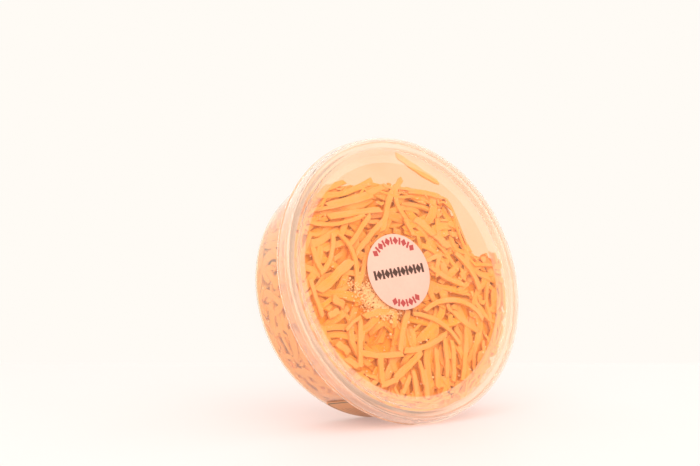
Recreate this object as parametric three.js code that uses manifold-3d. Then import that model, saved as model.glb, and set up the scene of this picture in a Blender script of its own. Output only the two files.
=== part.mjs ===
// A round clear deli tub of shredded hard cheese, lying on its side.
// Units are millimetres, +Z is up, and the lid looks towards -Y and a little upwards.
// Tub, lid and contents are built upright on the pack's own axis, with the top of the lid's
// rim at height 0 and the base below it. The whole pack is then laid over, so that the lid's
// skirt and the corner of the base both touch the table.
import * as THREE from 'three';
import { mergeVertices } from 'three/addons/utils/BufferGeometryUtils.js';
import Module from 'manifold-3d';

const wasm = await Module();
wasm.setup();

// Driving dimensions
const roundSides = 48;              // facets round the tub and the lid

const lid = {
  rimRadius: 59,                    // outside of the flat ridge that covers the tub's rim
  ridgeWidth: 4.6,                  // flat top of that ridge
  ridgeRound: 0.8,
  skirtRadius: 60,                  // flared lower edge of the skirt
  skirtDepth: 6.2,
  flare: 0.5,                       // how far and how high the skirt's edge stands out
  flareHeight: 0.9,
  shoulderRadius: 51.8,             // where the ridge's inner wall meets the sloping shoulder
  shoulderDepth: 2.2,
  panelRadius: 48.7,                // flat middle of the lid
  panelDepth: 3,
  wall: 0.7,
};

const tub = {
  depth: 37,                        // top of the lid's rim to the underside of the base
  baseRadius: 52.4,
  cornerRound: 3,
  mouthRadius: 55.8,                // outside of the wall, just under the rim
  wall: 0.8,
  rimTop: 1.1,                      // how far the tub's rolled rim lies below the lid's ridge
  rimHeight: 3.6,
  rimRadius: 57.8,
  rimRound: 0.8,
  footWidth: 4.6,                   // standing ring round the raised middle of the base
  footHeight: 1.5,
  footSlope: 1.2,
};

const lidLabel = { radius: 15.9, across: -3, up: 2.5, thickness: 0.2 };

const sideLabel = {
  thickness: 0.2,
  lowEnd: 29.4,                     // its two long edges, below the top of the rim
  highEnd: 9.4,
  firstAngle: 238,                  // its two short edges, degrees round from +X
  lastAngle: 294,
};

const heap = {
  wallGap: 0.3,
  relief: 1.3,                      // how far the shreds stand out of the core
  chamfer: 1.2,
  frontHeight: 98,                  // top of the heap above the table, near the lid
  backHeight: 92,
  shoulderDrop: 5,                  // how far the top falls away to the right
  shoulderFrom: 5,
  shoulderTo: 30,
  hollowDrop: 28,                   // hollow behind the lid, at the upper right
  hollowFrom: 27,
  hollowTo: 36,
  bump: 1.3,
};

const shred = { width: 2.5, thickness: 1.6, shortest: 13, longest: 34, steps: 2, tip: 0.65 };

// How many shreds lie on each side of the heap, and how far apart their middles keep
const cover = {
  front: { count: 70, spacing: 6.9 },
  wall: { count: 46, spacing: 9.8 },
  base: { count: 30, spacing: 10.4 },
  top: { count: 22, spacing: 8 },
};

const looseShred = {
  from: new THREE.Vector3(6.6, 53.2, -4.2),
  to: new THREE.Vector3(27.4, 41.4, -4.8),
  width: 2.2,
  thickness: 1.1,
  sag: 0.6,
  steps: 6,
};

const labelGap = 0.12;
const flatSpot = 0.4;               // depth of the two small flats that the pack rests on

// Solids
function toSolid(geometry) {
  const bare = geometry.clone();
  bare.deleteAttribute('normal');
  bare.deleteAttribute('uv');
  const merged = mergeVertices(bare, 1e-5);
  const mesh = new wasm.Mesh({
    numProp: 3,
    vertProperties: new Float32Array(merged.attributes.position.array),
    triVerts: new Uint32Array(merged.index.array),
  });
  return new wasm.Manifold(mesh);
}

function toGeometry(solid) {
  const mesh = solid.getMesh();
  const geometry = new THREE.BufferGeometry();
  geometry.setAttribute('position', new THREE.BufferAttribute(mesh.vertProperties, 3));
  geometry.setIndex(new THREE.BufferAttribute(mesh.triVerts, 1));
  geometry.computeVertexNormals();
  return geometry;
}

// A solid whose faces point out, whichever way round its geometry was wound
function outward(geometry) {
  const solid = toSolid(geometry);
  if (solid.volume() > 0) {
    return solid;
  }
  const flipped = geometry.clone();
  const index = flipped.index.array;
  for (let i = 0; i < index.length; i += 3) {
    [index[i], index[i + 1]] = [index[i + 1], index[i]];
  }
  return toSolid(flipped);
}

// Turns a closed list of [radius, height, rounding] corners into a body round the Z axis
function turned(corners) {
  const outline = [];
  corners.forEach(([radius, height, rounding = 0], i) => {
    const here = new THREE.Vector2(radius, height);
    if (rounding === 0) {
      outline.push(here);
      return;
    }
    const [beforeRadius, beforeHeight] = corners.at(i - 1);
    const [afterRadius, afterHeight] = corners[(i + 1) % corners.length];
    const before = new THREE.Vector2(beforeRadius, beforeHeight).sub(here).setLength(rounding);
    const after = new THREE.Vector2(afterRadius, afterHeight).sub(here).setLength(rounding);
    const bend = new THREE.QuadraticBezierCurve(before.add(here), here, after.add(here));
    outline.push(...bend.getPoints(2));
  });
  if (outline[0].x > 0) {
    outline.push(outline[0].clone());
  }
  const geometry = new THREE.LatheGeometry(outline, roundSides);
  geometry.rotateX(Math.PI / 2);
  return geometry;
}

// The pack's lean: the line that touches the skirt's edge and the rounded corner of the base
function restAngle() {
  const along = tub.depth - tub.cornerRound - lid.skirtDepth;
  const inward = lid.skirtRadius - (tub.baseRadius - tub.cornerRound);
  const reach = Math.hypot(along, inward);
  return Math.atan2(inward, along) - Math.asin(tub.cornerRound / reach);
}

const lean = restAngle();
const axisHeight = lid.skirtRadius * Math.cos(lean) + lid.skirtDepth * Math.sin(lean) - flatSpot;

// Radius of the tub's tapered wall at a height on the pack's axis
function outerWallRadius(height) {
  const run = tub.depth - tub.cornerRound - tub.rimTop - tub.rimHeight;
  const taper = (tub.mouthRadius - tub.baseRadius) / run;
  return tub.baseRadius + (height + tub.depth - tub.cornerRound) * taper;
}

function innerWallRadius(height) {
  return outerWallRadius(height) - tub.wall;
}

// Tub: a tapered wall with a rolled rim, a rounded corner and a raised base
function tubGeometry() {
  const underRim = -tub.rimTop - tub.rimHeight;
  const bottom = -tub.depth;
  const inside = bottom + tub.wall;
  const footInner = tub.baseRadius - tub.cornerRound - tub.footWidth;
  const footWall = tub.wall * 0.7;
  const corner = tub.cornerRound;
  const round = tub.rimRound;
  return turned([
    [0, bottom + tub.footHeight],
    [footInner, bottom + tub.footHeight],
    [footInner + tub.footSlope, bottom],
    [outerWallRadius(bottom), bottom, corner],
    [tub.mouthRadius, underRim],
    [tub.rimRadius - round, underRim],
    [tub.rimRadius, underRim + round],
    [tub.rimRadius, -tub.rimTop, round],
    [innerWallRadius(underRim), -tub.rimTop, round],
    [innerWallRadius(underRim), underRim],
    [innerWallRadius(inside), inside, corner - tub.wall],
    [footInner + tub.footSlope + footWall, inside],
    [footInner + footWall, inside + tub.footHeight],
    [0, inside + tub.footHeight],
  ]);
}

// Lid: skirt, ridge over the tub's rim, sloping shoulder and sunk flat panel
function lidGeometry() {
  const wall = lid.wall;
  const ridgeInner = lid.rimRadius - lid.ridgeWidth;
  const ridgeRound = lid.ridgeRound;
  const skirt = lid.skirtRadius - lid.flare;
  const lip = -lid.skirtDepth + lid.flareHeight;
  return turned([
    [0, -lid.panelDepth],
    [lid.panelRadius, -lid.panelDepth],
    [lid.shoulderRadius, -lid.shoulderDepth],
    [ridgeInner - wall / 2, 0, ridgeRound],
    [lid.rimRadius, 0, ridgeRound],
    [skirt, lip],
    [lid.skirtRadius, lip - lid.flare / 2],
    [lid.skirtRadius, -lid.skirtDepth],
    [skirt - wall, -lid.skirtDepth],
    [skirt - wall, lip],
    [lid.rimRadius - wall, -wall],
    [ridgeInner, -wall],
    [lid.shoulderRadius + wall * 0.7, -lid.shoulderDepth - wall],
    [lid.panelRadius + wall * 0.3, -lid.panelDepth - wall],
    [0, -lid.panelDepth - wall],
  ]);
}

// A block whose upper face is the table, in the upright pack's own axes
function tableSolid() {
  const size = 200;
  const block = new THREE.BoxGeometry(size, size, size);
  block.translate(0, 0, -size / 2 - axisHeight);
  block.rotateX(lean - Math.PI / 2);
  return toSolid(block);
}

// Round label on the lid's panel
function lidLabelGeometry() {
  const { radius, thickness } = lidLabel;
  const geometry = new THREE.CylinderGeometry(radius, radius, thickness, roundSides);
  geometry.rotateX(Math.PI / 2);
  return geometry;
}

// Label on the tub's wall: a thin sleeve that follows the wall, cut to a sector
function sideLabelSolid() {
  const low = -sideLabel.lowEnd;
  const high = -sideLabel.highEnd;
  const near = labelGap;
  const far = labelGap + sideLabel.thickness;
  const sleeve = outward(turned([
    [outerWallRadius(low) + near, low],
    [outerWallRadius(low) + far, low],
    [outerWallRadius(high) + far, high],
    [outerWallRadius(high) + near, high],
  ]));
  const reach = 2 * tub.baseRadius;
  const first = THREE.MathUtils.degToRad(sideLabel.firstAngle);
  const last = THREE.MathUtils.degToRad(sideLabel.lastAngle);
  const sector = new THREE.Shape([
    new THREE.Vector2(0, 0),
    new THREE.Vector2(reach * Math.cos(first), reach * Math.sin(first)),
    new THREE.Vector2(reach * Math.cos(last), reach * Math.sin(last)),
  ]);
  const wedge = new THREE.ExtrudeGeometry(sector, { depth: tub.depth, bevelEnabled: false });
  wedge.translate(0, 0, -tub.depth);
  return sleeve.intersect(toSolid(wedge));
}

// Seeded random numbers between 0 and 1
function randomSource(seed) {
  let state = seed;
  return () => {
    state = (state * 1664525 + 1013904223) % 4294967296;
    return state / 4294967296;
  };
}

const random = randomSource(7);

function between(low, high) {
  return low + (high - low) * random();
}

// Height of the heap above the table. across runs to the right and back away from the lid.
function heapHeight(across, back) {
  const { smoothstep, lerp, clamp } = THREE.MathUtils;
  const depthShare = clamp(back / tub.depth, 0, 1);
  const level = lerp(heap.frontHeight, heap.backHeight, depthShare);
  const shoulder = heap.shoulderDrop * smoothstep(across, heap.shoulderFrom, heap.shoulderTo);
  const hollow = heap.hollowDrop * smoothstep(across, heap.hollowFrom, heap.hollowTo);
  const waves = Math.sin(across * 0.31 + back * 0.23) + Math.cos(across * 0.17 - back * 0.37);
  return level - shoulder - hollow * (1 - depthShare) + heap.bump * waves / 2;
}

// From level axes (across, back from the lid's centre, above the table) to the pack's own axes
function fromLevel(across, back, above) {
  const point = new THREE.Vector3(across, back, above - axisHeight);
  return point.applyAxisAngle(new THREE.Vector3(1, 0, 0), lean - Math.PI / 2);
}

// The empty space over the heap, with the heap's uneven top as its lower face
function headspaceSolid() {
  const width = 150;
  const depth = 70;
  const middle = 15;                // from the lid's centre back to the block's centre
  const block = new THREE.BoxGeometry(width, depth, 1, 22, 8, 1);
  const corners = block.attributes.position;
  for (let i = 0; i < corners.count; i += 1) {
    const across = corners.getX(i);
    const back = corners.getY(i) + middle;
    const isFloor = corners.getZ(i) < 0;
    const above = isFloor ? heapHeight(across, back) : 2 * axisHeight + lid.rimRadius;
    const moved = fromLevel(across, back, above);
    corners.setXYZ(i, moved.x, moved.y, moved.z);
  }
  return toSolid(block);
}

// The inside of the shut pack, drawn in by a margin
function insideSolid(margin) {
  const front = -lid.panelDepth - lid.wall - margin;
  const back = -tub.depth + tub.wall + tub.footHeight + margin;
  return outward(turned([
    [0, back],
    [innerWallRadius(back) - heap.chamfer - margin, back],
    [innerWallRadius(back + heap.chamfer) - margin, back + heap.chamfer],
    [innerWallRadius(front) - margin, front],
    [0, front],
  ]));
}

// Surfaces that shreds lie on: each takes a flat place and a depth below the surface
const frontFace = (x, y, below) => new THREE.Vector3(
  x, y, -lid.panelDepth - lid.wall - heap.wallGap - below);

const baseFace = (x, y, below) => new THREE.Vector3(
  x, y, -tub.depth + tub.wall + tub.footHeight + heap.wallGap + below);

const wallFace = (x, y, below) => {
  const radius = innerWallRadius(y) - heap.wallGap - below;
  const angle = x / tub.baseRadius;
  return new THREE.Vector3(radius * Math.cos(angle), radius * Math.sin(angle), y);
};

const topFace = (x, y, below) => fromLevel(x, y, heapHeight(x, y) + heap.relief - below);

// One shred: a thin strip, bent along an arc and narrower at its ends, laid on a surface
function shredSolid(surface, x, y) {
  const length = between(shred.shortest, shred.longest);
  const heading = between(0, Math.PI);
  const bend = between(0.15, 0.9) * (random() < 0.5 ? -1 : 1);
  const width = shred.width * between(0.8, 1.15);
  const strip = new THREE.BoxGeometry(length, width, shred.thickness, shred.steps, 1, 1);
  const corners = strip.attributes.position;
  const arc = length / bend;
  for (let i = 0; i < corners.count; i += 1) {
    const along = corners.getX(i) / length;
    const turn = heading + bend * along;
    const side = corners.getY(i) * (1 - (1 - shred.tip) * Math.abs(2 * along));
    const across = x + arc * (Math.sin(turn) - Math.sin(heading)) - side * Math.sin(turn);
    const up = y - arc * (Math.cos(turn) - Math.cos(heading)) + side * Math.cos(turn);
    const below = shred.thickness / 2 - corners.getZ(i);
    const moved = surface(across, up, below);
    corners.setXYZ(i, moved.x, moved.y, moved.z);
  }
  return outward(strip);
}

// Scatters shreds over a surface, with their middles kept a spacing apart
function scatter(surface, { count, spacing }, place, isInside) {
  const taken = [];
  const shreds = [];
  for (let tries = 0; tries < count * 30 && shreds.length < count; tries += 1) {
    const spot = place();
    const isClear = taken.every((other) => other.distanceTo(spot) > spacing);
    if (isClear && isInside(spot)) {
      taken.push(spot);
      shreds.push(shredSolid(surface, spot.x, spot.y));
    }
  }
  return shreds;
}

// Whether a point in the pack's own axes lies well under the top of the heap
function isBelowTop(point) {
  const level = point.applyAxisAngle(new THREE.Vector3(1, 0, 0), Math.PI / 2 - lean);
  return level.z + axisHeight < heapHeight(level.x, level.y) - shred.width;
}

// Keeps the heap itself and leaves loose scraps out
function largestPiece(solid) {
  const pieces = solid.decompose();
  return pieces.reduce((best, piece) => (piece.volume() > best.volume() ? piece : best));
}

function heapSolid() {
  const reach = tub.baseRadius;
  const around = Math.PI * reach;
  const edge = 4;                   // keeps the middle of a shred off the heap's edges
  const anywhere = () => new THREE.Vector2(between(-reach, reach), between(-reach, reach));
  const onWall = () => new THREE.Vector2(
    between(-around, around), between(edge - tub.depth, -lid.panelDepth - edge));
  const onTop = () => new THREE.Vector2(between(-0.75 * reach, 0.75 * reach), between(-6, 24));
  const isInDisc = (p, radius) => p.length() < radius;
  const shreds = [
    ...scatter(frontFace, cover.front, anywhere,
      (p) => isInDisc(p, reach - 1) && isBelowTop(frontFace(p.x, p.y, 0))),
    ...scatter(wallFace, cover.wall, onWall,
      (p) => isBelowTop(wallFace(p.x, p.y, 0))),
    ...scatter(baseFace, cover.base, anywhere,
      (p) => isInDisc(p, reach - edge) && isBelowTop(baseFace(p.x, p.y, 0))),
    ...scatter(topFace, cover.top, onTop, () => true),
  ];
  let body = insideSolid(heap.wallGap + heap.relief).subtract(headspaceSolid());
  shreds.forEach((piece) => {
    body = body.add(piece);
  });
  return largestPiece(body.intersect(insideSolid(heap.wallGap)));
}

// The single shred that clings inside the lid, above the heap
function looseShredGeometry() {
  const { from, to, width, thickness, sag, steps } = looseShred;
  const length = from.distanceTo(to);
  const strip = new THREE.BoxGeometry(length, width, thickness, steps, 1, 1);
  const corners = strip.attributes.position;
  const along = to.clone().sub(from).normalize();
  const side = new THREE.Vector3(0, 0, 1).cross(along).normalize();
  const out = along.clone().cross(side);
  const middle = from.clone().add(to).multiplyScalar(0.5);
  for (let i = 0; i < corners.count; i += 1) {
    const share = corners.getX(i) / length;
    const taper = 0.85 + 0.35 * share;
    const bow = sag * (1 - 4 * share * share);
    const point = middle.clone()
      .addScaledVector(along, corners.getX(i))
      .addScaledVector(side, corners.getY(i) * taper - bow)
      .addScaledVector(out, corners.getZ(i));
    corners.setXYZ(i, point.x, point.y, point.z);
  }
  return toGeometry(outward(strip));
}

// Materials
function plasticMaterial(colour, opacity) {
  return new THREE.MeshStandardMaterial({
    color: colour, roughness: 0.22, metalness: 0, transparent: true, opacity,
  });
}

function dullMaterial(colour, roughness) {
  return new THREE.MeshStandardMaterial({ color: colour, roughness, metalness: 0 });
}

// The pack
const pack = new THREE.Group();
pack.rotation.x = Math.PI / 2 - lean;
pack.position.z = axisHeight;

function addPiece(name, geometry, material) {
  const mesh = new THREE.Mesh(geometry, material);
  mesh.name = name;
  pack.add(mesh);
  return mesh;
}

const table = tableSolid();
const tubBody = toGeometry(outward(tubGeometry()).subtract(table));
const lidBody = toGeometry(outward(lidGeometry()).subtract(table));

addPiece('tub', tubBody, plasticMaterial(0xf7e3d2, 0.35));
addPiece('lid', lidBody, plasticMaterial(0xf9e2d4, 0.35));
addPiece('cheese', toGeometry(heapSolid()), dullMaterial(0xf6b25c, 0.6));
addPiece('loose_shred', looseShredGeometry(), dullMaterial(0xefb765, 0.6));

const disc = addPiece('lid_label', lidLabelGeometry(), dullMaterial(0xf8dccb, 0.45));
disc.position.set(
  lidLabel.across, lidLabel.up, -lid.panelDepth + labelGap + lidLabel.thickness / 2);

addPiece('side_label', toGeometry(sideLabelSolid()), dullMaterial(0xe8cdb4, 0.5));

// Centre the laid pack front to back
const model = new THREE.Group();
model.add(pack);
model.updateMatrixWorld(true);
const extent = new THREE.Box3().setFromObject(model, true);
pack.position.y -= (extent.min.y + extent.max.y) / 2;

export default model;
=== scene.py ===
from math import asin, atan2, cos, hypot, log2, pi, radians, sin

import bpy
import numpy as np
from mathutils import Euler, Matrix, Vector


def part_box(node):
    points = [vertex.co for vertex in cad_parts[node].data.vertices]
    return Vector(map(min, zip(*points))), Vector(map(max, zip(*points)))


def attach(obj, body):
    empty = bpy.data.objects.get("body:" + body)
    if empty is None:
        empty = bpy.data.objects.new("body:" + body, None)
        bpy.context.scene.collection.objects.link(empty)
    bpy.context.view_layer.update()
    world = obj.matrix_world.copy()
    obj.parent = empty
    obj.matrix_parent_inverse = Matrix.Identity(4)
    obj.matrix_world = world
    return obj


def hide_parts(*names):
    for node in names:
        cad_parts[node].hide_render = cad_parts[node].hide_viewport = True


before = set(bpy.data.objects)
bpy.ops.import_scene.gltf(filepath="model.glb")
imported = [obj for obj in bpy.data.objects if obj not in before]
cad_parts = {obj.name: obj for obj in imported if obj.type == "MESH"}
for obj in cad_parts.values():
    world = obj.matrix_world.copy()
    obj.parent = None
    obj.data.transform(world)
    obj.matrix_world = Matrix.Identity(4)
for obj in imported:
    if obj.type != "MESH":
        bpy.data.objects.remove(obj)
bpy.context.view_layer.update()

mm = 0.001

# The pack's own axes: Z runs out of the lid, with the top of the lid's rim at 0. Sizes are in mm.
lidSize = {
    "rimRadius": 59, "ridgeWidth": 4.6, "ridgeRound": 0.8,
    "skirtRadius": 60, "skirtDepth": 6.2, "flare": 0.5, "flareHeight": 0.9,
    "shoulderRadius": 51.8, "shoulderDepth": 2.2,
    "panelRadius": 48.7, "panelDepth": 3, "wall": 0.7,
}
tubSize = {
    "depth": 37, "baseRadius": 52.4, "cornerRound": 3, "mouthRadius": 55.8, "wall": 0.8,
    "rimTop": 1.1, "rimHeight": 3.6, "rimRadius": 57.8, "rimRound": 0.8,
    "footWidth": 4.6, "footHeight": 1.5, "footSlope": 1.2,
    "gateRadius": 1.3, "gateHeight": 0.4,  # the moulding mark in the middle of the base
}
flatSpot = 0.4  # how far the two resting edges are cut flat at the table
roundSteps = 360


def restAngle():
    # How far the pack leans back with the lid's lower edge and the base's corner both on the table
    along = tubSize["depth"] - tubSize["cornerRound"] - lidSize["skirtDepth"]
    inward = lidSize["skirtRadius"] - (tubSize["baseRadius"] - tubSize["cornerRound"])
    return atan2(inward, along) - asin(tubSize["cornerRound"] / hypot(along, inward))


lean = restAngle()
axisHeight = lidSize["skirtRadius"] * cos(lean) + lidSize["skirtDepth"] * sin(lean) - flatSpot

roundLabel = {
    "radius": 15.9, "across": -3, "up": 2.5, "gap": 0.12, "thickness": 0.2,
    "edge": 0.05, "turn": 6.5, "ink": 0.04,
}


def placePack():
    # The round label's middle says how far back the pack lies
    low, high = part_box("lid_label")
    depth = roundLabel["gap"] + roundLabel["thickness"] / 2 - lidSize["panelDepth"]
    return (low.y + high.y) / 2 / mm - roundLabel["up"] * sin(lean) + depth * cos(lean)


packBack = placePack()
packMatrix = (Matrix.Translation((0, packBack * mm, axisHeight * mm))
              @ Matrix.Rotation(pi / 2 - lean, 4, "X"))


def outerWallRadius(height):
    run = tubSize["depth"] - tubSize["cornerRound"] - tubSize["rimTop"] - tubSize["rimHeight"]
    taper = (tubSize["mouthRadius"] - tubSize["baseRadius"]) / run
    return tubSize["baseRadius"] + (height + tubSize["depth"] - tubSize["cornerRound"]) * taper


def innerWallRadius(height):
    return outerWallRadius(height) - tubSize["wall"]


# Helpers for objects

def deselectAll():
    if bpy.context.object and bpy.context.object.mode != "OBJECT":
        bpy.ops.object.mode_set(mode="OBJECT")
    bpy.ops.object.select_all(action="DESELECT")


def pick(piece):
    deselectAll()
    piece.select_set(True)
    bpy.context.view_layer.objects.active = piece


def editAll(piece):
    pick(piece)
    bpy.ops.object.mode_set(mode="EDIT")
    bpy.ops.mesh.select_all(action="SELECT")


def leaveEdit():
    bpy.ops.object.mode_set(mode="OBJECT")


def settle():  # the selected object's place goes into its mesh
    bpy.ops.object.transform_apply(location=True, rotation=True, scale=True)


def applyModifiers(piece):
    pick(piece)
    for modifier in list(piece.modifiers):
        bpy.ops.object.modifier_apply(modifier=modifier.name)


def placeInPack(piece):
    pick(piece)
    piece.matrix_world = packMatrix @ piece.matrix_world
    settle()


def cutAtTable(piece):
    editAll(piece)
    bpy.ops.mesh.bisect(
        plane_co=(0, 0, 0), plane_no=(0, 0, 1), clear_inner=True, use_fill=True, threshold=0.001 * mm)
    leaveEdit()


def smooth(piece, angle=40):
    pick(piece)
    bpy.ops.object.shade_smooth_by_angle(angle=radians(angle))


def readCorners(piece):
    corners = np.zeros(len(piece.data.vertices) * 3)
    piece.data.vertices.foreach_get("co", corners)
    return corners.reshape(-1, 3)


def writeCorners(piece, corners):
    piece.data.vertices.foreach_set("co", corners.ravel())
    piece.data.update()


def dress(piece, materials, slot, *nodes):
    piece.data.materials.clear()
    for material in materials:
        piece.data.materials.append(material)
    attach(piece, "root")
    if nodes:
        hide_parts(*nodes)


# Helpers for materials

def newMaterial(name):
    material = bpy.data.materials.new(name)
    material.use_nodes = True
    tree = material.node_tree
    tree.nodes.clear()
    shader = tree.nodes.new("ShaderNodeBsdfPrincipled")
    output = tree.nodes.new("ShaderNodeOutputMaterial")
    tree.links.new(shader.outputs["BSDF"], output.inputs["Surface"])
    return material, tree, shader, output


def newGroup(name, inputs, outputs):
    tree = bpy.data.node_groups.new(name, "ShaderNodeTree")
    for label, kind in inputs:
        tree.interface.new_socket(label, in_out="INPUT", socket_type="NodeSocket" + kind)
    for label, kind in outputs:
        tree.interface.new_socket(label, in_out="OUTPUT", socket_type="NodeSocket" + kind)
    return tree, tree.nodes.new("NodeGroupInput").outputs, tree.nodes.new("NodeGroupOutput").inputs


def connect(tree, value, socket):
    if isinstance(value, bpy.types.NodeSocket):
        tree.links.new(value, socket)
    else:
        socket.default_value = value


def addNode(tree, kind, inputs=None, **settings):
    node = tree.nodes.new("ShaderNode" + kind)
    for name, value in settings.items():
        setattr(node, name, value)
    for name, value in (inputs or {}).items():
        connect(tree, value, node.inputs[name])
    return node


def addGroup(tree, group, inputs):
    node = tree.nodes.new("ShaderNodeGroup")
    node.node_tree = group
    for name, value in inputs.items():
        connect(tree, value, node.inputs[name])
    return node.outputs


def setInputs(node, values):
    for name, value in values.items():
        node.inputs[name].default_value = value


def compute(tree, operation, first, second=0.0, clamp=False):
    node = addNode(tree, "Math", {0: first, 1: second}, operation=operation, use_clamp=clamp)
    return node.outputs[0]


def spread(tree, value, low, high, toLow=0.0, toHigh=1.0):
    return addNode(tree, "MapRange", {
        "Value": value, "From Min": low, "From Max": high, "To Min": toLow, "To Max": toHigh,
    }).outputs[0]


def mixColour(tree, factor, first, second):
    node = addNode(tree, "Mix", data_type="RGBA")
    for index, value in ((0, factor), (6, first), (7, second)):
        connect(tree, value, node.inputs[index])
    return node.outputs[2]


def noise(tree, place, scale, detail=3):
    return addNode(tree, "TexNoise", {"Vector": place, "Scale": scale, "Detail": detail}).outputs["Fac"]


def rgb(red, green, blue):
    def toLinear(share):
        return share / 12.92 if share <= 0.04045 else ((share + 0.055) / 1.055) ** 2.4
    return (toLinear(red / 255), toLinear(green / 255), toLinear(blue / 255), 1)


def leadIn(tree, shader, colour, roughness, height, strength, distance):
    # Colour, roughness and a bump of the given distance, in mm, led into the shader
    bump = addNode(tree, "Bump", {"Height": height, "Strength": strength, "Distance": distance * mm})
    tree.links.new(colour, shader.inputs["Base Color"])
    tree.links.new(roughness, shader.inputs["Roughness"])
    tree.links.new(bump.outputs[0], shader.inputs["Normal"])


# Plastic: thin and milky. Lamps shine through it, so that the food is lit.

def mouldedGroup():
    # Cloudy haze, faint flow ripple and fine scuffs
    tree, entry, leave = newGroup(
        "mouldedSurface",
        [("Place", "Vector"), ("Smoothest", "Float"), ("Roughest", "Float"),
         ("Thin", "Color"), ("Thick", "Color")],
        [("Colour", "Color"), ("Roughness", "Float"), ("Height", "Float")])
    place = entry["Place"]
    cloud = spread(tree, noise(tree, place, 55), 0.3, 0.7)
    stretch = addNode(tree, "Mapping", {
        "Vector": place, "Scale": (900, 90, 300), "Rotation": (0.4, 0.2, 0.7)})
    scuff = spread(tree, noise(tree, stretch.outputs[0], 1, 2), 0.66, 0.78)
    share = compute(tree, "ADD", cloud, compute(tree, "MULTIPLY", scuff, 0.5), clamp=True)
    rough = addNode(tree, "MapRange", {
        "Value": share, "To Min": entry["Smoothest"], "To Max": entry["Roughest"]})
    tree.links.new(rough.outputs[0], leave["Roughness"])
    tree.links.new(mixColour(tree, cloud, entry["Thin"], entry["Thick"]), leave["Colour"])
    tree.links.new(noise(tree, place, 32, 2), leave["Height"])
    return tree


moulded = mouldedGroup()


def plasticMaterial(name, values):
    material, tree, shader, output = newMaterial(name)
    place = addNode(tree, "TexCoord").outputs["Object"]
    surface = addGroup(tree, moulded, {
        "Place": place, "Smoothest": values["roughness"] * 0.8, "Roughest": values["roughness"] * 1.25,
        "Thin": values["thin"], "Thick": values["thick"]})
    leadIn(tree, shader, surface["Colour"], surface["Roughness"], surface["Height"], values["ripple"], 0.6)
    setInputs(shader, {
        "Transmission Weight": values["clear"], "IOR": values["ior"],
        "Sheen Weight": values["sheen"], "Sheen Roughness": 0.4})
    film = addNode(tree, "BsdfTransparent", {"Color": values["lightTint"]})
    path = addNode(tree, "LightPath").outputs
    lampLight = compute(tree, "MAXIMUM", path["Is Shadow Ray"], path["Is Diffuse Ray"])
    blend = addNode(tree, "MixShader", {0: lampLight, 1: shader.outputs["BSDF"], 2: film.outputs["BSDF"]})
    tree.links.new(blend.outputs[0], output.inputs["Surface"])
    return material


panelPlastic = plasticMaterial("clearPanel", {
    "thin": rgb(255, 238, 224), "thick": rgb(255, 234, 216), "clear": 0.99, "roughness": 0.06,
    "ior": 1.25, "lightTint": (1, 0.96, 0.92, 1), "ripple": 0.02, "sheen": 0.0,
})
rimPlastic = plasticMaterial("milkyRim", {
    "thin": rgb(255, 243, 231), "thick": rgb(255, 238, 224), "clear": 0.9, "roughness": 0.18,
    "ior": 1.35, "lightTint": (1, 0.92, 0.85, 1), "ripple": 0.0, "sheen": 0.6,
})
tubPlastic = plasticMaterial("hazyTub", {
    "thin": rgb(255, 240, 212), "thick": rgb(255, 236, 203), "clear": 0.97, "roughness": 0.1,
    "ior": 1.28, "lightTint": (1, 0.95, 0.9, 1), "ripple": 0.0, "sheen": 0.25,
})


# Turned shells

def roundedOutline(corners, arcSteps=5):
    outline = []
    for index, corner in enumerate(corners):
        here = Vector(corner[:2])
        rounding = corner[2] if len(corner) > 2 else 0
        if not rounding:
            outline.append(here)
            continue
        before = Vector(corners[index - 1][:2]) - here
        after = Vector(corners[(index + 1) % len(corners)][:2]) - here
        start = here + before.normalized() * rounding
        end = here + after.normalized() * rounding
        for step in range(arcSteps + 1):
            share = step / arcSteps
            first = start.lerp(here, share)
            second = here.lerp(end, share)
            outline.append(first.lerp(second, share))
    return outline


def turnPiece(name, corners):
    outline = [point * mm for point in roundedOutline(corners)]
    deselectAll()
    bpy.ops.mesh.primitive_plane_add(size=mm)
    piece = bpy.context.object
    piece.name = name
    editAll(piece)
    bpy.ops.mesh.merge(type="CENTER")
    bpy.ops.transform.translate(value=(outline[0].x, 0, outline[0].y))
    for here, after in zip(outline, outline[1:]):
        step = after - here
        bpy.ops.mesh.extrude_region_move(TRANSFORM_OT_translate={"value": (step.x, 0, step.y)})
    bpy.ops.mesh.select_all(action="SELECT")
    bpy.ops.mesh.spin(steps=roundSteps, angle=2 * pi, center=(0, 0, 0), axis=(0, 0, 1))
    bpy.ops.mesh.select_all(action="SELECT")
    bpy.ops.mesh.remove_doubles(threshold=0.004 * mm)
    bpy.ops.mesh.normals_make_consistent(inside=False)
    leaveEdit()
    placeInPack(piece)
    cutAtTable(piece)  # the two flats that the pack rests on
    smooth(piece, 35)
    return piece


def paintMilky(piece, isMilky):
    toPack = packMatrix.inverted()
    for face in piece.data.polygons:
        centre = toPack @ face.center / mm
        face.material_index = int(isMilky(hypot(centre.x, centre.y), centre.z))


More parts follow.
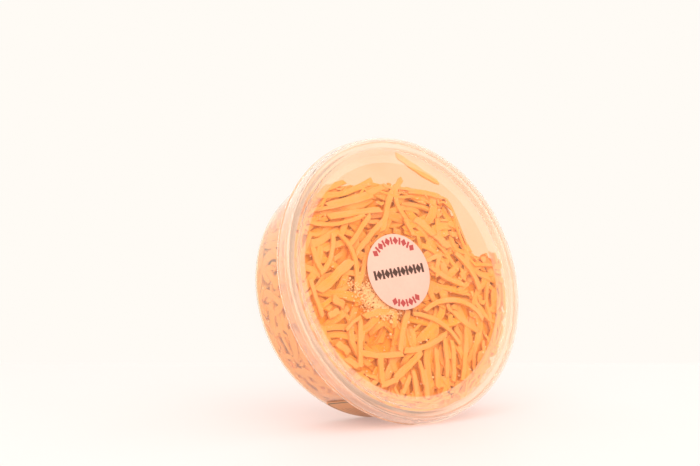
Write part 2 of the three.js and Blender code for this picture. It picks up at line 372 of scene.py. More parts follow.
def tubShell():
    t = tubSize
    underRim = -t["rimTop"] - t["rimHeight"]
    bottom = -t["depth"]
    inside = bottom + t["wall"]
    footInner = t["baseRadius"] - t["cornerRound"] - t["footWidth"]
    footWall = t["wall"] * 0.7
    raised = bottom + t["footHeight"]
    return turnPiece("tub_shell", [
        (0, raised - t["gateHeight"]),
        (t["gateRadius"], raised - t["gateHeight"], 0.2),
        (t["gateRadius"] + 0.3, raised, 0.2),
        (footInner, raised, 0.5),
        (footInner + t["footSlope"], bottom, 0.5),
        (outerWallRadius(bottom), bottom, t["cornerRound"]),
        (t["mouthRadius"], underRim, 0.4),
        (t["rimRadius"] - t["rimRound"], underRim, 0.3),
        (t["rimRadius"], underRim + t["rimRound"], 0.3),
        (t["rimRadius"], -t["rimTop"], t["rimRound"]),
        (innerWallRadius(underRim), -t["rimTop"], t["rimRound"]),
        (innerWallRadius(underRim), underRim, 0.4),
        (innerWallRadius(inside), inside, t["cornerRound"] - t["wall"]),
        (footInner + t["footSlope"] + footWall, inside, 0.4),
        (footInner + footWall, inside + t["footHeight"], 0.4),
        (0, inside + t["footHeight"]),
    ])


def lidShell():
    s = lidSize
    wall = s["wall"]
    ridgeInner = s["rimRadius"] - s["ridgeWidth"]
    skirt = s["skirtRadius"] - s["flare"]
    lip = -s["skirtDepth"] + s["flareHeight"]
    return turnPiece("lid_shell", [
        (0, -s["panelDepth"]),
        (s["panelRadius"], -s["panelDepth"], 0.3),
        (s["shoulderRadius"], -s["shoulderDepth"], 0.4),
        (ridgeInner - wall / 2, 0, s["ridgeRound"]),
        (s["rimRadius"], 0, s["ridgeRound"]),
        (skirt, lip, 0.15),
        (s["skirtRadius"], lip - s["flare"] / 2, 0.12),
        (s["skirtRadius"], -s["skirtDepth"], 0.15),
        (skirt - wall, -s["skirtDepth"], 0.15),
        (skirt - wall, lip),
        (s["rimRadius"] - wall, -wall, 0.3),
        (ridgeInner, -wall, 0.3),
        (s["shoulderRadius"] + wall * 0.7, -s["shoulderDepth"] - wall, 0.3),
        (s["panelRadius"] + wall * 0.3, -s["panelDepth"] - wall, 0.3),
        (0, -s["panelDepth"] - wall),
    ])


tubPiece = tubShell()
dress(tubPiece, [tubPlastic, rimPlastic], "clear_plastic", "tub")
paintMilky(tubPiece, lambda radius, height: height > -tubSize["rimTop"] - tubSize["rimHeight"] - 1)
lidPiece = lidShell()
dress(lidPiece, [panelPlastic, rimPlastic], "clear_plastic", "lid")
paintMilky(lidPiece, lambda radius, height: radius > lidSize["panelRadius"] + 0.6)
print("tub and lid turned", len(tubPiece.data.polygons), len(lidPiece.data.polygons))


# The heap of cheese

heap = {
    "frontHeight": 98, "backHeight": 92,
    "shoulderDrop": 5, "shoulderFrom": 5, "shoulderTo": 30,
    "hollowDrop": 28, "hollowFrom": 29, "hollowTo": 41, "hollowBack": 0.8,
    "leftDrop": 17, "leftFrom": 26, "leftTo": 48,
    "bump": 1.3, "touch": 0.08, "soft": 0.4, "fill": 5,
}
pit = {"across": -16, "up": -25, "halfWidth": 8.5, "halfHeight": 4.5, "brink": 1.6, "deep": 3.3}


def easeStep(value, low, high):
    share = np.clip((value - low) / (high - low), 0, 1)
    return share * share * (3 - 2 * share)


def heapHeight(across, back):
    depthShare = np.clip(back / tubSize["depth"], 0, 1)
    level = heap["frontHeight"] + (heap["backHeight"] - heap["frontHeight"]) * depthShare
    shoulder = heap["shoulderDrop"] * easeStep(across, heap["shoulderFrom"], heap["shoulderTo"])
    hollow = heap["hollowDrop"] * easeStep(across, heap["hollowFrom"], heap["hollowTo"])
    left = heap["leftDrop"] * easeStep(-across, heap["leftFrom"], heap["leftTo"])
    waves = np.sin(across * 0.31 + back * 0.23) + np.cos(across * 0.17 - back * 0.37)
    hollow *= 1 - (1 - heap["hollowBack"]) * depthShare
    level = level - shoulder - hollow - left * easeStep(depthShare, 0, 0.4)
    return level + heap["bump"] * waves / 2


def toLevel(points):  # pack axes to: across, back from the lid's middle, above the table
    y = points[..., 1]
    z = points[..., 2]
    back = y * sin(lean) - z * cos(lean)
    above = y * cos(lean) + z * sin(lean) + axisHeight
    return np.stack([points[..., 0], back, above], -1)


def fromLevel(across, back, above):
    rise = above - axisHeight
    return np.stack([across, back * sin(lean) + rise * cos(lean), rise * sin(lean) - back * cos(lean)], -1)


innerFront = -lidSize["panelDepth"] - lidSize["wall"]
innerBack = -tubSize["depth"] + tubSize["wall"] + tubSize["footHeight"]


def pressFlat(depth, softness):  # squeezes what would pass a wall, and never to one level
    return np.where(depth > softness, depth, softness * np.exp(np.minimum(depth, softness) / softness - 1))


def keepInside(points):
    soft = heap["soft"]
    z = innerFront - heap["touch"] - pressFlat(innerFront - heap["touch"] - points[..., 2], soft)
    z = innerBack + heap["touch"] + pressFlat(z - innerBack - heap["touch"], soft)
    radius = np.maximum(np.hypot(points[..., 0], points[..., 1]), 0.01)
    limit = innerWallRadius(z) - heap["touch"]
    squeeze = (limit - pressFlat(limit - radius, soft)) / radius
    return np.stack([points[..., 0] * squeeze, points[..., 1] * squeeze, z], -1)


# The faces of the heap. Each takes places on a flat map, and a depth below the face, to the pack's axes.
def frontFace(u, v, below):
    return np.stack([u, v, innerFront - below], -1)


def baseFace(u, v, below):
    return np.stack([u, v, innerBack + below], -1)


def wallFace(u, v, below):  # the map's seam is at the underside
    radius = innerWallRadius(v) - below
    angle = pi / 2 + u / tubSize["baseRadius"]
    return np.stack([radius * np.cos(angle), radius * np.sin(angle), v], -1)


def topFace(u, v, below):
    return fromLevel(u, v, heapHeight(u, v) + 1 - below)


def isBelowTop(points, margin):
    level = toLevel(points)
    return level[..., 2] < heapHeight(level[..., 0], level[..., 1]) - margin


def isInDepth(points, margin):
    return (points[:, 2] < innerFront + margin) & (points[:, 2] > innerBack - margin)


# How far out a shred may reach before it is squeezed in, and how much of it has to lie in the heap
fitting = {
    "discReach": 57, "topReach": 55, "proud": 0.5, "under": 0.85,
    "wallMargin": 2, "wallShare": 0.9, "topMargin": 1, "topShare": 0.95,
}


def isInReach(points, reach):
    return np.hypot(points[:, 0], points[:, 1]).max() < reach


def fitsDisc(points):
    below = isBelowTop(points, -fitting["proud"])
    isUnder = below.mean() > fitting["under"] and below[len(points) // 2]
    return isUnder and isInReach(points, fitting["discReach"])


def fitsWall(points):
    inDepth = isInDepth(points, fitting["wallMargin"]).mean() > fitting["wallShare"]
    return inDepth and isBelowTop(points, -fitting["proud"]).mean() > fitting["under"]


def fitsTop(points):
    inDepth = isInDepth(points, fitting["topMargin"]).mean() > fitting["topShare"]
    return isInReach(points, fitting["topReach"]) and inDepth


laidWithin = {"disc": 54, "topAcross": (-46, 50), "topBack": (-8, 32)}


def placeInDisc(random):
    radius = laidWithin["disc"] * random.uniform(0, 1) ** 0.5
    angle = random.uniform(0, 2 * pi)
    return radius * cos(angle), radius * sin(angle)


def placeOnWall(random):
    return random.uniform(-pi, pi) * tubSize["baseRadius"], random.uniform(innerBack, innerFront)


def placeOnTop(random):
    return random.uniform(*laidWithin["topAcross"]), random.uniform(*laidWithin["topBack"])


def anyHeading(random, u, v):
    return random.uniform(0, 2 * pi)


# Seen from the front, shreds lie combed level at the upper left and upright at the lower right
combed = {
    "level": {"up": 12, "across": 4, "turn": 9, "spread": 22},
    "upright": {"up": -22, "across": -10, "turn": 80, "spread": 26},
}


def frontHeading(random, u, v):
    level = combed["level"]
    upright = combed["upright"]
    if v > level["up"] and u < level["across"]:
        return radians(random.normal(level["turn"], level["spread"]))
    if v < upright["up"] and u > upright["across"]:
        return radians(random.normal(upright["turn"], upright["spread"]))
    return random.uniform(0, 2 * pi)


def flatRoof(u, v):
    return heap["fill"] + 0 * u


def pitShare(u, v):  # 1 in the open pit, falling to 0 at its brink
    reach = ((u - pit["across"]) / pit["halfWidth"]) ** 2 + ((v - pit["up"]) / pit["halfHeight"]) ** 2
    return np.clip(pit["brink"] - reach, 0, 1)


unevenRoof = {"least": 0.8, "more": 1.2, "runAcross": 0.33, "runUp": 0.29, "share": 0.25}


def frontRoof(u, v):  # lower over the open pit, and a little uneven all over
    values = unevenRoof
    waves = np.sin(u * values["runAcross"] + 1) * np.sin(v * values["runUp"] + 2.2)
    uneven = values["least"] + values["more"] * np.clip(waves + values["share"], 0, 1)
    return heap["fill"] - pit["deep"] * pitShare(u, v) - uneven


pileMap = {"cell": 0.5, "reach": 172, "relax": 28, "over": 0.6, "press": 0.5, "soft": 0.9}


class Pile:  # what has been laid on one face of the heap, as a map of heights
    def __init__(self, face, place, fits, seed, heading=anyHeading, roof=flatRoof):
        self.face, self.place, self.fits = face, place, fits
        self.heading, self.roof = heading, roof
        self.random = np.random.default_rng(seed)
        self.cells = int(2 * pileMap["reach"] / pileMap["cell"])
        self.heights = np.zeros((self.cells, self.cells), np.float32)

    def toCell(self, place):
        cell = ((place + pileMap["reach"]) / pileMap["cell"]).astype(int)
        return np.clip(cell, 0, self.cells - 1)

    def drop(self, u, v, width, thickness, pressed=False):
        # Lets a shred down on what lies there and gives the height of its middle line
        steps = np.arange(len(u))
        fine = np.linspace(0, len(u) - 1, 4 * len(u))
        fineU = np.interp(fine, steps, u)
        fineV = np.interp(fine, steps, v)
        runU = np.gradient(fineU)
        runV = np.gradient(fineV)
        run = np.maximum(np.hypot(runU, runV), 1e-6)
        offsets = np.linspace(-0.5, 0.5, 5) * width
        gridU = self.toCell(fineU[:, None] - (runV / run)[:, None] * offsets)
        gridV = self.toCell(fineV[:, None] + (runU / run)[:, None] * offsets)
        under = self.heights[gridU, gridV].max(1) + thickness / 2
        level = under.copy()
        for _ in range(pileMap["relax"]):
            level[1:-1] = np.maximum(under[1:-1], (level[:-2] + 2 * level[1:-1] + level[2:]) / 4)
        top = level + thickness / 2
        if pressed:
            roof = flatRoof(fineU, fineV)
            top = np.maximum(top, roof - pileMap["press"])
        else:
            roof = self.roof(fineU, fineV)
            if (top - roof).mean() > pileMap["over"]:
                return None
        np.maximum.at(self.heights, (gridU, gridV), top[:, None])
        top = roof - pressFlat(roof - top, pileMap["soft"])
        return np.interp(steps, fine, top - thickness / 2)

    def stand(self, u, v, level):
        # Points of a middle line in the pack's axes, and the way out of the face at each
        path = self.face(u, v, heap["fill"] - level)
        outwards = self.face(u, v, heap["fill"] - level - 1) - path
        return path, outwards / np.linalg.norm(outwards, axis=1)[:, None]


shredMarks = ("tone", "along", "across")


class PieceBox:  # gathers copies into one mesh, each with its tone and its length and width in mm
    def __init__(self):
        self.corners, self.faces, self.marks, self.count = [], [], [], 0

    def add(self, model, shaped, tone, length, width):
        corners, faces = model
        self.faces += [[self.count + corner for corner in face] for face in faces]
        self.corners.append(keepInside(shaped))
        tones = np.full(len(corners), tone)
        self.marks.append(np.stack([tones, corners[:, 0] * length, corners[:, 1] * width], -1))
        self.count += len(corners)

    def build(self, name):
        mesh = bpy.data.meshes.new(name)
        mesh.from_pydata(np.concatenate(self.corners) * mm, [], self.faces)
        marks = np.concatenate(self.marks).astype(np.float32)
        for index, label in enumerate(shredMarks):
            mesh.attributes.new(label, "FLOAT", "POINT").data.foreach_set("value", marks[:, index].copy())
        piece = bpy.data.objects.new(name, mesh)
        bpy.context.scene.collection.objects.link(piece)
        placeInPack(piece)
        smooth(piece, 38)
        print(name, len(mesh.polygons), "faces")
        return piece


def takeModel(piece):
    leaveEdit()
    model = readCorners(piece), [list(face.vertices) for face in piece.data.polygons]
    bpy.data.objects.remove(piece)
    return model


shredSection = {"side": 0.5, "shoulder": 0.86, "rise": 0.58}


def modelShred(segments):
    # One shred of length, width and thickness 1 along X: a flat six-sided ring, drawn out step by step
    deselectAll()
    bpy.ops.mesh.primitive_circle_add(
        vertices=6, radius=0.5, fill_type="NGON", location=(-0.5, 0, 0), rotation=(0, pi / 2, 0))
    piece = bpy.context.object
    settle()
    corners = readCorners(piece)
    turned = np.arctan2(corners[:, 2], corners[:, 1]) - np.arctan2(corners[0, 2], corners[0, 1])
    isSide = np.abs(np.cos(turned)) > 0.9
    corners[:, 1] = np.cos(turned) * np.where(isSide, shredSection["side"], shredSection["shoulder"])
    corners[:, 2] = np.sin(turned) * shredSection["rise"]
    writeCorners(piece, corners)
    editAll(piece)
    for step in range(segments):
        bpy.ops.mesh.extrude_region_move(TRANSFORM_OT_translate={"value": (1 / segments, 0, 0)})
    bpy.ops.mesh.select_all(action="SELECT")
    bpy.ops.mesh.normals_make_consistent(inside=False)
    return takeModel(piece)


def modelCrumb():
    deselectAll()
    bpy.ops.mesh.primitive_ico_sphere_add(subdivisions=1, radius=0.5)
    piece = bpy.context.object
    editAll(piece)
    bpy.ops.transform.vertex_random(offset=0.12, seed=4)
    return takeModel(piece)


# How a shred is cut: how sharply its ends narrow and thin, and how its two edges wave
shredCut = {
    "endPower": 10, "endThinning": 0.25, "slant": 0.9, "edgeShift": 0.31,
    "slowWaves": (1, 2), "fastWaves": (2.5, 4), "fastShare": 0.7, "raggedUp": 0.6,
}


def bendShred(model, kind, path, outwards, width, thickness, random, roll=0.18, twist=0.4):
    # A copy of the shred model along a path, with uneven edges and blunt, slanting ends
    corners = model[0]
    share = corners[:, 0] + 0.5
    index = np.round(share * (len(path) - 1)).astype(int)
    tangents = np.gradient(path, axis=0)
    tangents /= np.linalg.norm(tangents, axis=1)[:, None]
    sides = np.cross(outwards, tangents)
    sides /= np.linalg.norm(sides, axis=1)[:, None]
    ups = np.cross(tangents, sides)
    cut = shredCut
    toEnd = np.abs(2 * share - 1) ** cut["endPower"]
    edge = np.where(corners[:, 1] > 0, cut["edgeShift"], 0)
    wave = np.sin(2 * pi * (random.uniform(*cut["slowWaves"]) * share + random.uniform(0, 1) + edge))
    fast = np.sin(2 * pi * (random.uniform(*cut["fastWaves"]) * share + random.uniform(0, 1) + 2 * edge))
    wave += cut["fastShare"] * fast
    size = (1 - (1 - kind["tip"]) * toEnd) * (1 + kind["ragged"] * wave)
    angle = random.normal(0, roll) + random.normal(0, twist) * (share - 0.5)
    across = corners[:, 1] * width * size
    up = corners[:, 2] * thickness * (1 - cut["endThinning"] * toEnd)
    up *= 1 + kind["ragged"] * cut["raggedUp"] * wave
    slant = random.uniform(-cut["slant"], cut["slant"]) * across * toEnd
    offset = sides[index] * (across * np.cos(angle) - up * np.sin(angle))[:, None]
    offset += ups[index] * (across * np.sin(angle) + up * np.cos(angle))[:, None]
    return path[index] + offset + tangents[index] * slant[:, None]


longShreds = {
    "segments": 8, "length": (12, 34), "width": (2.0, 3.9), "thickness": (0.7, 1.3),
    "bend": 0.75, "tip": 0.85, "ragged": 0.12,
}
shortShreds = {
    "segments": 4, "length": (3.5, 10), "width": (1.2, 3.2), "thickness": (0.6, 1.1),
    "bend": 0.5, "tip": 0.75, "ragged": 0.16,
}
crumbs = {
    "size": (0.5, 1.6), "shrink": (0.5, 1), "stretch": (0.6, 1.2),
    "under": 0.35, "over": 0.4, "tone": (0.3, 1),
}
laying = {"tries": 10, "thickest": 0.75, "curl": 0.3, "toneSpread": (-0.45, 0.25)}


def layShreds(pile, kind, model, wanted, box):
    random = pile.random
    share = np.linspace(-0.5, 0.5, kind["segments"] + 1)
    laid = 0
    for attempt in range(wanted * laying["tries"]):
        length = random.uniform(*kind["length"])
        width = random.uniform(*kind["width"])
        thickness = min(random.uniform(*kind["thickness"]), laying["thickest"] * width)
        middle = pile.place(random)
        angle = pile.heading(random, *middle) + random.normal(0, kind["bend"]) * share
        angle += random.normal(0, laying["curl"]) * np.sin(2 * pi * share + random.uniform(0, 2 * pi))
        step = length / kind["segments"]
        u = np.concatenate([[0], np.cumsum(np.cos(angle[1:]))]) * step
        v = np.concatenate([[0], np.cumsum(np.sin(angle[1:]))]) * step
        u += middle[0] - u.mean()
        v += middle[1] - v.mean()
        if not pile.fits(pile.face(u, v, np.zeros_like(u))):
            continue
        level = pile.drop(u, v, width, thickness)
        if level is None:
            continue
        path, outwards = pile.stand(u, v, level)
        bent = bendShred(model, kind, path, outwards, width, thickness, random)
        # Painted shade: the deeper a shred lies in the heap, the lower its tone and the darker its colour,
        # with a random spread added
        tone = level.mean() / heap["fill"] + random.uniform(*laying["toneSpread"])  # darker if deep
        box.add(model, bent, np.clip(tone, 0, 1), length, width)
        laid += 1
        if laid == wanted:
            break
    print("laid", laid, "of", wanted, "in", attempt + 1)


def layCrumbs(pile, model, wanted, box, place, roof, lowest=0):
    random = pile.random
    for _ in range(wanted):
        u, v = np.array(place(random)).reshape(2, 1)
        size = random.uniform(*crumbs["size"]) * random.uniform(*crumbs["shrink"])
        turn = Euler(random.uniform(0, 2 * pi, 3)).to_matrix()
        stretch = random.uniform(*crumbs["stretch"], 3)
        if not pile.fits(pile.face(u, v, np.zeros(1))):
            continue
        cell = pile.toCell(u), pile.toCell(v)
        level = np.maximum(pile.heights[cell], lowest) + size * crumbs["under"]
        level = np.minimum(level, roof(u, v) - size / 2)
        pile.heights[cell] = np.maximum(pile.heights[cell], level + size * crumbs["over"])
        path, _ = pile.stand(u, v, level)
        chip = (model[0] * stretch * size) @ np.array(turn).T + path
        box.add(model, chip, random.uniform(*crumbs["tone"]), size, size)


# Shreds laid one by one against the lid: width, tone, then places across and up from the lid's middle, in
# mm
handLaid = {
    "topLevelThin": (1.7, 0.9, (-41, 29), (-21, 32), (-9, 35)),
    "topLevelWide": (2.9, 0.8, (-33, 31), (-18, 34), (-3, 39)),
    "topCorner": (2.4, 0.5, (-40, 33), (-33, 37), (-22, 41)),
    "topPlain": (2.6, 0.4, (-38, 35), (-20, 37), (-8, 42)),
    "levelSecond": (2.8, 0.85, (-33, 26), (-19, 28), (-6, 29)),
    "levelThird": (1.8, 0.7, (-43, 24), (-27, 23.5), (-15, 27)),
    "steepLeft": (2.2, 0.7, (-25, 14), (-18, 21), (-12, 27)),
    "steepRight": (2.3, 0.9, (-22, 11), (-14, 18), (-5, 25)),
    "uprightTop": (2.8, 0.7, (-7, 20), (-3, 29), (2, 38)),
    "besideUpright": (2.2, 0.6, (7, 25), (3, 32), (4, 40)),
    "curvedThin": (2.1, 0.85, (-29, 19), (-24, 12), (-23, 6), (-25, -4)),
    "leftUpright": (2.1, 0.8, (-32, 19), (-36, 8), (-41, 3)),
    "leftShort": (2.6, 0.6, (-43, 14), (-42, 9), (-40, 4)),
    "wideDiagonal": (4.0, 0.8, (-25, 8), (-34, 2), (-43, -4)),
    "besideLabel": (2.3, 0.7, (-17, 10), (-20, 4), (-24, -3)),
    "leftWall": (2.0, 1.0, (-46, 1), (-45, -6), (-43, -14)),
    "lowerUpright": (2.3, 0.9, (-25, -15), (-27, -25), (-29, -35)),
    "lowerShort": (1.5, 1.0, (-33, -20), (-29, -17), (-25, -15)),
    "overPit": (2.9, 0.85, (-23, -15), (-14, -13.5), (-6, -14)),
    "overPitEnd": (2.3, 0.7, (-7.5, -14), (-9, -20)),
    "underPit": (2.6, 0.8, (-28, -29), (-18, -31), (-7, -31)),
    "belowPit": (2.6, 0.7, (-18, -31), (-19, -37), (-19, -43)),
    "belowPitLow": (2.4, 0.9, (-20, -43), (-11, -41)),
    "pitRight": (2.7, 0.9, (0, -13), (-5, -22), (-8, -30)),
    "arch": (2.1, 0.8, (2, -15), (13, -18), (19, -22), (24, -29)),
    "wave": (2.3, 0.8, (8, -14), (24, -10), (32, -12), (39, -19)),
    "risingHigh": (2.5, 0.95, (-6, -30), (8, -28), (18, -24)),
    "risingLow": (3.1, 0.85, (-13, -41), (-5, -36), (3, -31)),
    "uprightA": (2.0, 0.7, (16, -26), (15.5, -34), (14, -42)),
    "uprightB": (2.4, 0.8, (3, -38), (2.5, -44), (2, -50)),
    "uprightC": (2.3, 0.6, (11, -30), (10, -37), (8, -46)),
    "uprightD": (2.3, 0.7, (29, -22), (26, -33), (22, -44)),
    "uprightE": (2.2, 0.9, (-3, -38), (-3, -44), (-3.5, -51)),
    "uprightF": (2.1, 0.6, (1, -34), (1.5, -39), (2, -45)),
    "uprightG": (2.0, 0.8, (-10, -47), (-5, -40)),
    "uprightH": (2.2, 0.7, (20, -27), (19, -36), (17, -44)),
    "curlByLabel": (3.6, 0.9, (11, 25), (15, 22.5), (20, 18)),
    "curlTail": (2.2, 0.7, (6, 25), (9, 18)),
    "brightChip": (3.4, 1.0, (21, 18), (27, 12.5)),
    "fanFirst": (2.1, 0.9, (13, 7), (22, 9.5)),
    "fanSecond": (2.1, 0.7, (21, 9), (19, 5), (18, 0)),
    "fanThird": (2.3, 0.8, (15, 4.5), (22, 0), (32, -4)),
    "rightEdge": (2.4, 0.6, (30, 10), (36, 4), (40, -6)),
    "peak": (2.6, 0.7, (2, 37), (8, 42.5)),
    "topRight": (2.4, 0.6, (10, 37), (19, 36.5), (28, 34)),
    "chunkHigh": (3.4, 1.0, (-37, -7), (-32, -10)),
    "chunkLow": (3.0, 0.9, (-40, -14), (-35, -12)),
    "chunkSide": (3.2, 0.9, (-38, -25), (-33, -29)),
    "chunkBottom": (2.8, 1.0, (-35, -31), (-30, -35)),
}


def layByHand(pile, kind, model, box):
    for width, tone, *points in handLaid.values():
        points = np.array(points, float)
        runs = np.concatenate([[0], np.cumsum(np.linalg.norm(np.diff(points, axis=0), axis=1))])
        share = np.linspace(0, 1, kind["segments"] + 1)
        order = len(points) - 1
        u = np.polyval(np.polyfit(runs / runs[-1], points[:, 0], order), share)
        v = np.polyval(np.polyfit(runs / runs[-1], points[:, 1], order), share)
        thickness = min(1.3, 0.55 * width)
        level = pile.drop(u, v, width, thickness, pressed=True)
        path, outwards = pile.stand(u, v, level)
        bent = bendShred(model, kind, path, outwards, width, thickness, pile.random, 0.08, 0.25)
        box.add(model, bent, tone, runs[-1], width)


piles = {
    "front": (Pile(frontFace, placeInDisc, fitsDisc, 3, frontHeading, frontRoof), 600, 480, 700),
    "wall": (Pile(wallFace, placeOnWall, fitsWall, 4), 520, 420, 400),
    "base": (Pile(baseFace, placeInDisc, fitsDisc, 5), 420, 320, 300),
    "top": (Pile(topFace, placeOnTop, fitsTop, 6), 190, 180, 300),
}


# The patch of fine crumbs at the lower left of the round label, which runs down to the right
crumbPatch = {
    "count": 1500, "lowest": 3.2, "across": -15.5, "up": -8.5, "reach": 5.5,
    "runAcross": 0.8, "runUp": -0.5, "spreadAcross": 3.2, "spreadUp": 2.8,
}


def placeWithCrumbs(random):
    values = crumbPatch
    along = random.normal(0, values["reach"])
    across = values["across"] + values["runAcross"] * along + random.normal(0, values["spreadAcross"])
    return across, values["up"] + values["runUp"] * along + random.normal(0, values["spreadUp"])


def fillPack():
    longModel = modelShred(longShreds["segments"])
    shortModel = modelShred(shortShreds["segments"])
    crumbModel = modelCrumb()
    longBox, shortBox, crumbBox = PieceBox(), PieceBox(), PieceBox()
    for name, (pile, longCount, shortCount, crumbCount) in piles.items():
        layShreds(pile, longShreds, longModel, longCount, longBox)
        if name == "front":
            layByHand(pile, longShreds, longModel, longBox)
        layShreds(pile, shortShreds, shortModel, shortCount, shortBox)
        if name == "front":
            layCrumbs(pile, crumbModel, crumbPatch["count"], crumbBox, placeWithCrumbs, flatRoof,
                      crumbPatch["lowest"])
        layCrumbs(pile, crumbModel, crumbCount, crumbBox, pile.place, pile.roof)
    return longBox.build("long_shreds"), shortBox.build("short_shreds"), crumbBox.build("crumbs")


# A single shred clings inside the lid, above the heap
looseStrand = {
    "from": (6.6, 53.2, -4.2), "to": (27.4, 41.4, -4.8), "sag": 0.6,
    "segments": 14, "width": 3.0, "thickness": 1.2, "tip": 0.7, "ragged": 0.1, "tone": 0.5,
    "roll": 0.1, "twist": 0.5, "seed": 11,
}


def looseShred():
    values = looseStrand
    model = modelShred(values["segments"])
    share = np.linspace(0, 1, values["segments"] + 1)[:, None]
    start = np.array(values["from"])
    end = np.array(values["to"])
    path = start + (end - start) * share
    path[:, 1] -= values["sag"] * (4 * share * (1 - share))[:, 0]
    outwards = np.zeros_like(path) + (0, 0, 1)
    random = np.random.default_rng(values["seed"])
    bent = bendShred(model, values, path, outwards, values["width"], values["thickness"], random,
                     values["roll"], values["twist"])
    box = PieceBox()
    box.add(model, bent, values["tone"], np.linalg.norm(end - start), values["width"])
    return box.build("loose_strand")


core = {
    "depth": 3.7, "top": 3.8, "sides": 72, "voxel": 1.5, "lump": 3.2, "lumpDepth": 1.5,
    "pitDeep": 2.2, "pitReach": 8, "soften": 4,
}


def heapCore():
    # The bulk of the heap below the shreds: a drum with the heap's top and the pit, finished lumpy
    gap = core["depth"]
    deselectAll()
    bpy.ops.mesh.primitive_cone_add(
        vertices=core["sides"], radius1=(innerWallRadius(innerBack + gap) - gap) * mm,
        radius2=(innerWallRadius(innerFront - gap) - gap) * mm,
        depth=(innerFront - innerBack - 2 * gap) * mm, location=(0, 0, (innerFront + innerBack) / 2 * mm))
    piece = bpy.context.object
    piece.name = "cheese_core"
    settle()
    remesh = piece.modifiers.new("even", "REMESH")
    remesh.mode = "VOXEL"
    remesh.voxel_size = core["voxel"] * mm
    applyModifiers(piece)
    corners = readCorners(piece) / mm
    nearFront = easeStep(corners[:, 2], innerFront - gap - core["pitReach"], innerFront - gap)
    corners[:, 2] -= core["pitDeep"] * nearFront * pitShare(corners[:, 0], corners[:, 1])
    level = toLevel(corners)
    across, back, above = level[:, 0], level[:, 1], level[:, 2]
    above = np.minimum(above, heapHeight(across, back) - core["top"])
    writeCorners(piece, fromLevel(across, back, above) * mm)
    again = piece.modifiers.new("again", "REMESH")
    again.mode = "VOXEL"
    again.voxel_size = core["voxel"] * mm
    soften = piece.modifiers.new("soften", "SMOOTH")
    soften.iterations = core["soften"]
    lumps = bpy.data.textures.new("heapLumps", "CLOUDS")
    lumps.noise_scale = core["lump"] * mm
    relief = piece.modifiers.new("relief", "DISPLACE")
    relief.texture = lumps
    relief.strength = core["lumpDepth"] * mm
    applyModifiers(piece)
    bpy.ops.object.shade_smooth()
    placeInPack(piece)
    print("cheese_core", len(piece.data.polygons), "faces")
    return piece


def grainGroup():
    # Cut cheese: patches, streaks along each shred, pale specks and a fine crumb, and painted shade from
    # each shred's tone
    tree, entry, leave = newGroup(
        "cutCheese",
        [("Place", "Vector"), ("Streak", "Vector"), ("Tone", "Float"),
         ("Dark", "Color"), ("Light", "Color"), ("Speck", "Color")],
        [("Colour", "Color"), ("Roughness", "Float"), ("Height", "Float")])
    place = entry["Place"]
    patch = spread(tree, noise(tree, place, 95, 4), 0.3, 0.7, 0, 0.4)
    streak = noise(tree, entry["Streak"], 1, 3)
    grain = noise(tree, place, 1500, 4)
    # The tone leans deep shreds to the dark colour and high ones to the light colour: painted shade
    tone = compute(tree, "MULTIPLY", entry["Tone"], 0.45)
    share = compute(tree, "ADD", patch, tone)
    share = compute(tree, "ADD", share, spread(tree, streak, 0.35, 0.65, -0.12, 0.24))
    share = compute(tree, "ADD", share, spread(tree, grain, 0.35, 0.65, -0.06, 0.06), clamp=True)
    colour = mixColour(tree, share, entry["Dark"], entry["Light"])
    cells = addNode(tree, "TexVoronoi", {"Vector": place, "Scale": 420}).outputs["Distance"]
    speck = spread(tree, cells, 0.16, 0.1, 0, 0.6)
    tree.links.new(mixColour(tree, speck, colour, entry["Speck"]), leave["Colour"])
    tree.links.new(spread(tree, grain, 0.3, 0.7, 0.38, 0.62), leave["Roughness"])
    fine = compute(tree, "MULTIPLY", grain, 0.6)
    tree.links.new(compute(tree, "ADD", fine, compute(tree, "MULTIPLY", streak, 0.8)), leave["Height"])
    return tree


cutCheese = grainGroup()


streakRun = {"along": 0.14, "across": 1.6, "shift": 53}  # long along a shred, and its own on each


def cheeseMaterial(name, values):
    material, tree, shader, _ = newMaterial(name)
    place = addNode(tree, "TexCoord").outputs["Object"]
    tone, along, across = [
        addNode(tree, "Attribute", attribute_name=label).outputs["Fac"] for label in shredMarks]
    streak = addNode(tree, "CombineXYZ", {
        "X": compute(tree, "MULTIPLY", along, streakRun["along"]),
        "Y": compute(tree, "MULTIPLY", across, streakRun["across"]),
        "Z": compute(tree, "MULTIPLY", tone, streakRun["shift"])})
    surface = addGroup(tree, cutCheese, {
        "Place": place, "Streak": streak.outputs[0], "Tone": tone,
        "Dark": values["dark"], "Light": values["light"], "Speck": values["speck"]})
    leadIn(tree, shader, surface["Colour"], surface["Roughness"], surface["Height"], values["relief"], 0.5)
    shader.inputs["Specular IOR Level"].default_value = 0.4
    return material


# The dark colour goes to deep shreds and the light one to shreds near the top: painted shade, also mixed
# at random by patches and streaks
shredCheese = cheeseMaterial("shreddedCheese", {
    "dark": rgb(240, 172, 38), "light": rgb(245, 184, 121), "speck": rgb(252, 208, 160), "relief": 0.4,
})
crumbCheese = cheeseMaterial("crumbedCheese", {
    "dark": rgb(250, 206, 146), "light": rgb(252, 222, 176), "speck": rgb(254, 234, 202), "relief": 0.5,
})
strandCheese = cheeseMaterial("looseStrandCheese", {
    "dark": rgb(238, 182, 96), "light": rgb(246, 204, 130), "speck": rgb(252, 220, 160), "relief": 0.4,
})
# The core under the shreds gets the dark colours of the deepest shreds: painted shade
coreCheese = cheeseMaterial("packedCheese", {
    "dark": rgb(246, 172, 40), "light": rgb(248, 186, 64), "speck": rgb(250, 200, 100), "relief": 0.7,
})

longPiece, shortPiece, crumbPiece = fillPack()
dress(longPiece, [shredCheese], "cheese", "cheese")
dress(shortPiece, [shredCheese], "cheese", "cheese")
dress(crumbPiece, [crumbCheese], "cheese", "cheese")
dress(heapCore(), [coreCheese], "cheese", "cheese")
dress(looseShred(), [strandCheese], "cheese", "loose_shred")


# Labels

